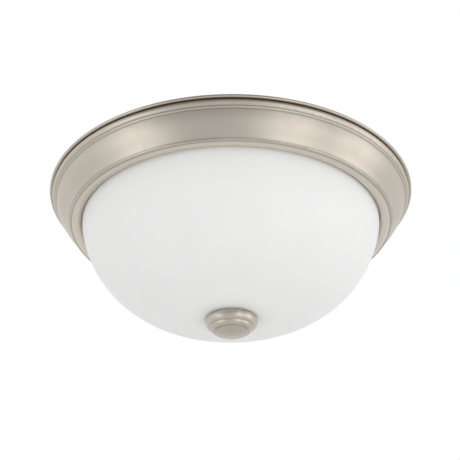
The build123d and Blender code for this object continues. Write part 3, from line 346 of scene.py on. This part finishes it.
# ---- glass, porcelain and plastic ---------------------------------------------------------------------
def opal_glass():
    """White opal glass, satin outside: almost even, with the slow waves of a blown shade and fine dust."""
    white = (0.89, 0.89, 0.885)
    material, tree, shader = principled("opal_glass", IOR=1.5, Subsurface_Weight=0.3,
                                        Subsurface_Scale=0.006, Subsurface_Radius=(1.0, 1.0, 1.0))
    where = place(tree)
    waves = cloud(tree, where, 9.0, 2.0, 0.4)
    milk = cloud(tree, where, 22.0, 4.0, 0.6, 0.5)
    dust = cloud(tree, where, 900.0, 3.0, 0.65)
    body = tint(tree, spread(tree, milk, 0.3, 0.7), scaled(white, 0.985), scaled(white, 1.01))
    dusted = tint(tree, spread(tree, dust, 0.68, 0.85, 0.0, 0.25), body, scaled(white, 0.93))
    softness = spread(tree, dust, 0.3, 0.75, 0.5, 0.58)
    relief = bump(tree, waves, 0.6 * MM, 0.15)
    relief = bump(tree, dust, 0.01 * MM, 0.15, relief)
    drive(tree, shader, Base_Color=dusted, Roughness=softness, Normal=relief)
    return material


def glaze(name, colour, speck, rough):
    """Glazed porcelain or fused black glass: glaze that pools in clouds, a few specks, a soft orange peel."""
    material, tree, shader = principled(name, IOR=1.5, Coat_Weight=0.5, Coat_Roughness=0.06)
    where = place(tree)
    pooled_glaze_and_crease_shade = cloud(tree, where, 90.0, 3.0)
    specks = cloud(tree, where, 1300.0, 1.0)
    peel = cloud(tree, where, 420.0, 2.0)
    body = tint(tree, spread(tree, pooled_glaze_and_crease_shade, 0.35, 0.65), scaled(colour, 0.95), colour)
    specked = tint(tree, spread(tree, specks, 0.74, 0.78), body, speck)
    softness = spread(tree, pooled_glaze_and_crease_shade, 0.3, 0.7, rough, rough + 0.08)
    relief = bump(tree, peel, 0.03 * MM, 0.3)
    drive(tree, shader, Base_Color=specked, Roughness=softness, Normal=relief)
    return material


def moulded(name, colour, rough, depth=0.03, glow=0.0):
    """Moulded plastic or fibre: a fine grain, depth mm deep, faint flow clouds and rubbed patches."""
    material, tree, shader = principled(name, IOR=1.47, Subsurface_Weight=glow,
                                        Subsurface_Scale=0.003, Subsurface_Radius=(1.0, 1.0, 1.0))
    where = place(tree)
    flow = cloud(tree, where, 60.0, 3.0, 0.5, 0.8)
    grain = cloud(tree, where, 1400.0, 3.0, 0.6)
    rubbed = cloud(tree, where, 150.0, 4.0, 0.6)
    body = tint(tree, spread(tree, flow, 0.35, 0.65), scaled(colour, 0.95), scaled(colour, 1.03))
    softness = maths(tree, "ADD", spread(tree, grain, 0.3, 0.7, rough - 0.04, rough + 0.05),
                     spread(tree, rubbed, 0.58, 0.7, 0.0, -0.12))
    relief = bump(tree, grain, depth * MM, 0.4)
    drive(tree, shader, Base_Color=body, Roughness=softness, Normal=relief)
    return material


def sleeve(name, colour):
    """Extruded insulation: a fine-grained skin and a little talc."""
    talc_grey = (0.5, 0.5, 0.48)
    material, tree, shader = principled(name, IOR=1.5)
    where = place(tree)
    talc = cloud(tree, where, 500.0, 4.0, 0.7)
    skin = cloud(tree, where, 1800.0, 2.0)
    body = tint(tree, spread(tree, talc, 0.5, 0.75, 0.0, 0.35), colour, talc_grey)
    softness = spread(tree, talc, 0.35, 0.7, 0.32, 0.5)
    relief = bump(tree, skin, 0.02 * MM, 0.3)
    drive(tree, shader, Base_Color=body, Roughness=softness, Normal=relief)
    return material


# ---- the pad's foil and wool --------------------------------------------------------------------------
def foil_face():
    """Aluminium foil glued on the wool: creases at three sizes, from hand folds down to a fine crackle."""
    fresh, dull, crease_dark = (0.86, 0.86, 0.87), (0.74, 0.74, 0.74), (0.52, 0.52, 0.53)
    warp = (0.012, 0.012, 0.012)
    material, tree, shader = principled("pad_foil", Metallic=1.0, IOR=1.45)
    where = place(tree)
    shifts = add(tree, "ShaderNodeTexNoise", {"Vector": where, "Scale": 45.0, "Detail": 2.0})
    warped = {0: shifts.outputs["Color"], 1: warp, 2: where}
    bent = add(tree, "ShaderNodeVectorMath", warped, operation="MULTIPLY_ADD").outputs[0]
    creases = cells(tree, bent, 130.0, "DISTANCE_TO_EDGE")
    facets = cells(tree, bent, 210.0, "F1")
    crackle = cloud(tree, where, 900.0, 3.0, 0.7)
    worn = cloud(tree, where, 26.0, 3.0)
    body = tint(tree, spread(tree, worn, 0.4, 0.7), fresh, dull)
    # darker colour along the foil's crease lines
    darker_along_creases = tint(tree, spread(tree, creases, 0.0, 0.035, 0.45, 0.0), body, crease_dark)
    softness = maths(tree, "ADD", spread(tree, crackle, 0.3, 0.7, 0.2, 0.34),
                     spread(tree, worn, 0.5, 0.8, 0.0, 0.1))
    relief = bump(tree, spread(tree, creases, 0.0, 0.12), 0.35 * MM, 0.5)
    relief = bump(tree, facets, 0.5 * MM, 0.4, relief)
    relief = bump(tree, crackle, 0.05 * MM, 0.5, relief)
    drive(tree, shader, Base_Color=darker_along_creases, Roughness=softness, Normal=relief)
    return material


def glass_wool():
    """The pad's cut edge: matted fibres lying in layers."""
    brown, straw, shadow = (0.60, 0.50, 0.30), (0.86, 0.79, 0.60), (0.42, 0.33, 0.18)
    material, tree, shader = principled("pad_wool", Roughness=0.95, Sheen_Weight=0.3, Sheen_Roughness=0.5)
    where = place(tree)
    layers = cloud(tree, stretched(tree, where, (260.0, 260.0, 1900.0)), 1.0, 4.0, 0.75, 1.2)
    tufts = cloud(tree, where, 420.0, 4.0, 0.7, 1.5)
    body = tint(tree, spread(tree, layers, 0.35, 0.68), brown, straw)
    shaded = tint(tree, spread(tree, tufts, 0.3, 0.55, 0.5, 0.0), body, shadow)
    relief = bump(tree, layers, 0.5 * MM, 0.7)
    relief = bump(tree, tufts, 0.6 * MM, 0.6, relief)
    drive(tree, shader, Base_Color=shaded, Normal=relief)
    return material


# ---- studio -------------------------------------------------------------------------------------------
def direction(round_degrees, up_degrees):
    """Unit vector from the light towards a point, degrees round from the camera and above the horizontal."""
    turn = math.radians(round_degrees)
    up = math.radians(up_degrees)
    return Vector((math.sin(turn) * math.cos(up), -math.cos(turn) * math.cos(up), math.sin(up)))


def aim(thing, where):
    toward = (Vector(where) - thing.location).normalized()
    thing.rotation_mode = "QUATERNION"
    thing.rotation_quaternion = toward.to_track_quat("-Z", "Y")


def link(name, data):
    """An object in the scene."""
    made = bpy.data.objects.new(name, data)
    bpy.context.scene.collection.objects.link(made)
    return made


def make_camera():
    camera = link("camera", bpy.data.cameras.new("camera"))
    camera.data.lens = LENS
    camera.data.sensor_width = SENSOR
    camera.location = direction(0, -CAMERA_BELOW) * CAMERA_DISTANCE
    aim(camera, CAMERA_AIM)
    roll = Matrix.Rotation(math.radians(CAMERA_ROLL), 4, "Z").to_quaternion()
    camera.rotation_quaternion = camera.rotation_quaternion @ roll
    bpy.context.scene.camera = camera


def make_lamps():
    for name, turn, up, width, height, level in LAMPS:
        lamp = link(name, bpy.data.lights.new(name, "AREA"))
        lamp.data.shape = "RECTANGLE"
        lamp.data.size = width
        lamp.data.size_y = height
        lamp.data.energy = level * math.pi * width * height
        lamp.location = direction(turn, up) * LAMP_DISTANCE
        lamp.visible_camera = False
        aim(lamp, LAMP_AIM)


def make_world():
    """White to the camera.  What is polished shows the same white wall behind and beside the light, greyer
    in front of it, where the camera stands, and dark above the camera.  The rest is soft light all round."""
    world = bpy.data.worlds.new("studio")
    bpy.context.scene.world = world
    world.use_nodes = True
    tree = world.node_tree
    way = add(tree, "ShaderNodeTexCoord").outputs["Generated"]
    split = add(tree, "ShaderNodeSeparateXYZ", {0: way})
    front = spread(tree, split.outputs[1], WALL_FRONT_Y, WALL_SIDE_Y, WALL_FRONT_LOSS, 0.0)
    above = spread(tree, split.outputs[2], WALL_LOW_Z, WALL_HIGH_Z, 0.0, WALL_HIGH_LOSS)
    loss = maths(tree, "MULTIPLY", front, maths(tree, "ADD", 1.0, above))
    wall = maths(tree, "MAXIMUM", maths(tree, "SUBTRACT", 1.0, loss), WALL_DARKEST)
    shown = seen(tree)
    shiny = mirrored(tree)
    other = maths(tree, "SUBTRACT", 1.0, maths(tree, "MAXIMUM", shown, shiny))
    level = maths(tree, "MULTIPLY_ADD", shiny, wall, shown)
    level = maths(tree, "MULTIPLY_ADD", other, SOFT_LIGHT, level)
    background = tree.nodes["Background"]
    feed(tree, background.inputs["Strength"], level)
    feed(tree, background.inputs["Color"], WHITE)


def floor_paper():
    """Pale studio paper that reads as white to the camera and keeps a soft shadow.  Metal shows it white
    too, well away from the light, and greyer in front, where the camera stands."""
    material, tree, shader = principled("floor_paper", Roughness=0.9)
    mottle = cloud(tree, place(tree), 3.0, 4.0)
    drive(tree, shader, Base_Color=tint(tree, mottle, *FLOOR_SHADES))
    away = add(tree, "ShaderNodeVectorMath", {0: place(tree)}, operation="LENGTH").outputs["Value"]
    depth = add(tree, "ShaderNodeSeparateXYZ", {0: place(tree)}).outputs[1]
    plain = spread(tree, away, FLOOR_PLAIN_FROM, FLOOR_PLAIN_TO, FLOOR_PLAIN_SHARE, 1.0)
    far = spread(tree, away, FLOOR_MIRRORED_FROM, FLOOR_MIRRORED_TO, 0.0, FLOOR_MIRRORED_SHARE)
    behind = spread(tree, depth, FLOOR_FRONT_Y, FLOOR_BACK_Y)
    reflected = maths(tree, "MULTIPLY", mirrored(tree), maths(tree, "MULTIPLY", far, behind))
    share = maths(tree, "MULTIPLY_ADD", seen(tree), plain, reflected)
    glow = add(tree, "ShaderNodeEmission", {"Color": WHITE, "Strength": 1.0})
    mixed = add(tree, "ShaderNodeMixShader", {0: share, 1: shader.outputs[0], 2: glow.outputs[0]})
    feed(tree, tree.nodes["Material Output"].inputs["Surface"], mixed.outputs[0])
    return material


def make_floor():
    half = FLOOR_SIZE / 2
    corners = [(-half, -half), (half, -half), (half, half), (-half, half)]
    mesh = bpy.data.meshes.new("floor")
    mesh.from_pydata([(x, y, FLOOR_Z) for x, y in corners], [], [(0, 1, 2, 3)])
    mesh.materials.append(floor_paper())
    floor = link("floor", mesh)


# ---- mesh helpers -------------------------------------------------------------------------------------
def piece(name, build, materials, smooth=True):
    """An object in the scene from a bmesh."""
    mesh = bpy.data.meshes.new(name)
    bmesh.ops.recalc_face_normals(build, faces=build.faces)
    build.to_mesh(mesh)
    build.free()
    for material in materials:
        mesh.materials.append(material)
    for face in mesh.polygons:
        face.use_smooth = smooth
    return link(name, mesh)


def lathed(outline, steps, shape, closed=True):
    """A bmesh turned from (radius, height) points, each of which shape moves by its angle.  A closed outline
    runs from its last point back to its first."""
    build = bmesh.new()
    columns = []
    for step in range(steps):
        angle = 2 * math.pi * step / steps
        column = []
        for point in outline:
            radius, height = shape(point, angle)
            column.append(build.verts.new((radius * math.cos(angle), radius * math.sin(angle), height)))
        columns.append(column)
    rows = len(outline) if closed else len(outline) - 1
    for step in range(steps):
        here, following = columns[step], columns[(step + 1) % steps]
        for row in range(rows):
            after = (row + 1) % len(outline)
            build.faces.new((here[row], following[row], following[after], here[after]))
    return build


# ---- insulation pad: foil over glass wool -------------------------------------------------------------
def crumple(x, y):
    """Height of the foil's creases, in metres: ridges at three sizes."""
    height = 0
    for waves, amount in FOIL_RIDGES:
        ridge = 1 - abs(noise.noise(Vector((x * waves, y * waves, waves))))
        height += amount * (ridge**2 - FOIL_MIDDLE)
    return height


def pad_outline(inner, outer, low, high):
    """Section of the pad: up the inner edge, out across the foil's top, and down the outer edge."""
    belly = low + (high - low) * PAD_BELLY_HEIGHT
    corner_in, corner_down = PAD_EDGE * 0.35, PAD_EDGE * 0.3
    first, last = inner + PAD_EDGE, outer - PAD_EDGE
    outline = [
        (inner, low),
        (inner - PAD_BELLY, belly),
        (inner, high - PAD_EDGE),
        (inner + corner_in, high - corner_down),
    ]
    outline += [(first + (last - first) * step / PAD_TOP_STEPS, high) for step in range(PAD_TOP_STEPS + 1)]
    outline += [
        (outer - corner_in, high - corner_down),
        (outer, high - PAD_EDGE),
        (outer + PAD_BELLY, belly),
        (outer, low),
    ]
    return outline


def rivet_holes(low, high, material):
    """The body that is cut out of the pad: a cylinder through it at each rivet."""
    build = bmesh.new()
    for turn in (1, -1):
        for y in RIVET_Y:
            where = Matrix.Translation((-turn * RIVET_X, turn * y, (low + high) / 2))
            bmesh.ops.create_cone(build, cap_ends=True, segments=PAD_HOLE_SEGMENTS, radius1=PAD_RIVET_HOLE,
                                  radius2=PAD_RIVET_HOLE, depth=4 * (high - low), matrix=where)
    return piece("pad_punch", build, [material], smooth=False)


def make_pad():
    low_corner, high_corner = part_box("insulation_pad")
    low, high, outer = low_corner.z, high_corner.z, high_corner.x
    crest = high - PAD_HEADROOM

    def worked(point, angle):
        """The edges ragged all the way up; the foil slack and creased, and less so further down."""
        radius, height = point
        x, y = radius * math.cos(angle), radius * math.sin(angle)
        share = (height - low) / (crest - low)
        wave_x, wave_y, wave_z = WOOL_RAGGED_WAVES
        ragged = noise.noise(Vector((x * wave_x, y * wave_y, height * wave_z))) * WOOL_RAGGED
        slack = noise.noise(Vector((x * FOIL_SLACK_WAVES, y * FOIL_SLACK_WAVES, 5))) * FOIL_SLACK
        return radius + ragged, height + share**3 * (crumple(x, y) + slack - FOIL_SINK)

    foil, wool = foil_face(), glass_wool()
    build = lathed(pad_outline(PAD_OPENING, outer - PAD_INSET, low, crest), PAD_STEPS, worked)
    pad = piece("foil_faced_pad", build, [foil, wool])
    for face in pad.data.polygons:
        face.material_index = 0 if face.center.z > crest - PAD_FOIL_DEPTH else 1

    punch = rivet_holes(low, high, wool)
    cut = pad.modifiers.new("holes", "BOOLEAN")
    cut.object = punch
    cut.operation = "DIFFERENCE"
    cut.solver = "EXACT"
    bpy.context.view_layer.update()
    finished = bpy.data.meshes.new_from_object(pad.evaluated_get(bpy.context.evaluated_depsgraph_get()))
    pad.modifiers.clear()
    pad.data = finished
    bpy.data.objects.remove(punch)
    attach(pad, "fixture")
    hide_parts("insulation_pad")


# ---- wire nuts ----------------------------------------------------------------------------------------
def nut_outline():
    """Section of a twist-on connector, from inside its mouth round its tip to its axis."""
    skirt = NUT_MOUTH - NUT_RIM_STEP
    cone_start = NUT_RIM + NUT_RIM_BEVEL
    shoulder = NUT_LENGTH - NUT_TIP / 2
    outline = [
        (NUT_BORE, NUT_BORE_LENGTH),
        (NUT_BORE, NUT_CHAMFER_DEPTH),
        (NUT_BORE + NUT_CHAMFER_WIDTH, 0.0),
        (skirt, 0.0),
        (NUT_MOUTH, NUT_LIP),
        (NUT_MOUTH, NUT_RIM),
        (skirt, cone_start),
    ]
    for step in range(1, NUT_CONE_STEPS):
        share = step / NUT_CONE_STEPS
        outline.append((skirt + (NUT_TIP - skirt) * share, cone_start + (shoulder - cone_start) * share))
    for step in range(NUT_TIP_STEPS + 1):
        turn = math.pi / 2 * step / NUT_TIP_STEPS
        outline.append((NUT_TIP / 2 * (1 + math.cos(turn)), shoulder + NUT_TIP / 2 * math.sin(turn)))
    outline.append((NUT_TIP_END, NUT_LENGTH))
    return outline


def fluted(point, angle):
    """The grip's flutes, which fade out at both ends."""
    radius, height = point
    if radius <= NUT_BORE or not FLUTE_START < height < FLUTE_END:
        return point
    fade = min(1.0, (height - FLUTE_START) / FLUTE_FADE, (FLUTE_END - height) / FLUTE_FADE)
    return radius - FLUTE_DEPTH * fade * (0.5 - 0.5 * math.cos(NUT_FLUTES * angle)), height


def add_wing(build, wing):
    """A flat ear with rounded edges, from the mouth up along the cap."""
    loops = []
    for height, edge in WING_ROWS:
        half_section = [
            (WING_ROOT, WING_HALF),
            (edge - 0.6 * WING_HALF, WING_HALF),
            (edge - 0.15 * WING_HALF, 0.6 * WING_HALF),
        ]
        section = [(x, -y) for x, y in half_section] + [(edge, 0.0)] + half_section[::-1]
        loops.append([build.verts.new((wing * x, y, height)) for x, y in section])
    for lower, upper in zip(loops, loops[1:]):
        for index in range(len(lower)):
            after = (index + 1) % len(lower)
            build.faces.new((lower[index], lower[after], upper[after], upper[index]))
    build.faces.new(loops[0])
    build.faces.new(loops[-1])


def make_wire_nuts(material):
    low_corner, high_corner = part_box("wire_nuts")
    middle = (low_corner.z + high_corner.z) / 2
    for side in (-1, 1):
        build = lathed(nut_outline(), NUT_STEPS, fluted, closed=False)
        for wing in (-1, 1):
            add_wing(build, wing)
        way = Vector((side * math.sin(NUT_ANGLE), math.cos(NUT_ANGLE), 0))
        mouth = Vector((side * LEAD_PITCH / 2, BUSHING_Y, middle)) + way * NUT_REACH
        turn = Matrix.Rotation(-side * NUT_ANGLE, 4, "Z") @ Matrix.Rotation(-math.pi / 2, 4, "X")
        build.transform(Matrix.Translation(mouth) @ turn)
        nut = piece(f"wire_nut_{'left' if side < 0 else 'right'}", build, [material])
        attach(nut, "fixture")
        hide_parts("wire_nuts")


# ---- the model's own nodes, finished ------------------------------------------------------------------
def paint(nodes, material):
    for name in nodes:
        data = frame["nodes"][name].data
        data.materials.clear()
        data.materials.append(material)


def by_slot():
    """The names of the nodes in each of the record's material slots."""
    slots = {}
    for row in frame["record"]["subparts"]:
        slots.setdefault(row["material_slot"], []).append(row["node"])
    return slots


def paint_all():
    """Finishes every node by its slot, and returns the materials by slot."""
    finishes = {
        "satin_nickel": spun_metal("satin_nickel", (0.55, 0.504, 0.438), 0.37),
        "zinc_steel": plated_steel("zinc_steel", (0.70, 0.71, 0.72), (0.68, 0.64, 0.52), 0.3),
        "rod_steel": plated_steel("rod_steel", (0.66, 0.65, 0.62), (0.60, 0.56, 0.46), 0.34),
        "rivet_aluminium": plated_steel("rivet_aluminium", (0.80, 0.80, 0.81), (0.70, 0.70, 0.71), 0.36),
        "ground_green": plated_steel("ground_green", (0.04, 0.36, 0.13), (0.02, 0.22, 0.10), 0.34),
        "opal_glass": opal_glass(),
        "bush_plastic": moulded("bush_plastic", (0.045, 0.045, 0.045), 0.55),
        "insulation_black": sleeve("insulation_black", (0.025, 0.025, 0.025)),
        "insulation_white": sleeve("insulation_white", (0.80, 0.80, 0.77)),
        "porcelain": glaze("porcelain", (0.84, 0.83, 0.79), (0.35, 0.30, 0.24), 0.12),
        "brass": bright_brass(),
        "bulb_base_metal": plated_steel("bulb_base_metal", (0.80, 0.79, 0.77), (0.70, 0.68, 0.64), 0.26),
        "bulb_black_glass": glaze("bulb_black_glass", (0.02, 0.02, 0.022), (0.08, 0.08, 0.08), 0.1),
        "bulb_white_plastic": moulded("bulb_white_plastic", (0.82, 0.82, 0.81), 0.32, glow=0.05),
        "bulb_diffuser_plastic": moulded("bulb_diffuser_plastic", (0.88, 0.88, 0.865), 0.5, 0.015, glow=0.35),
        "led_board": moulded("led_board", (0.85, 0.86, 0.86), 0.4),
        "led_phosphor": moulded("led_phosphor", (0.80, 0.62, 0.12), 0.35, glow=0.1),
        "wire_nut_plastic": moulded("wire_nut_plastic", (0.78, 0.20, 0.03), 0.42, glow=0.05),
    }
    slots = by_slot()
    for slot, material in finishes.items():
        paint(slots[slot], material)
    return finishes


make_camera()
make_lamps()
make_world()
make_floor()
finishes = paint_all()
make_pad()
make_wire_nuts(finishes["wire_nut_plastic"])

scene = bpy.context.scene
scene.view_settings.view_transform = "Standard"
bpy.context.view_layer.update()
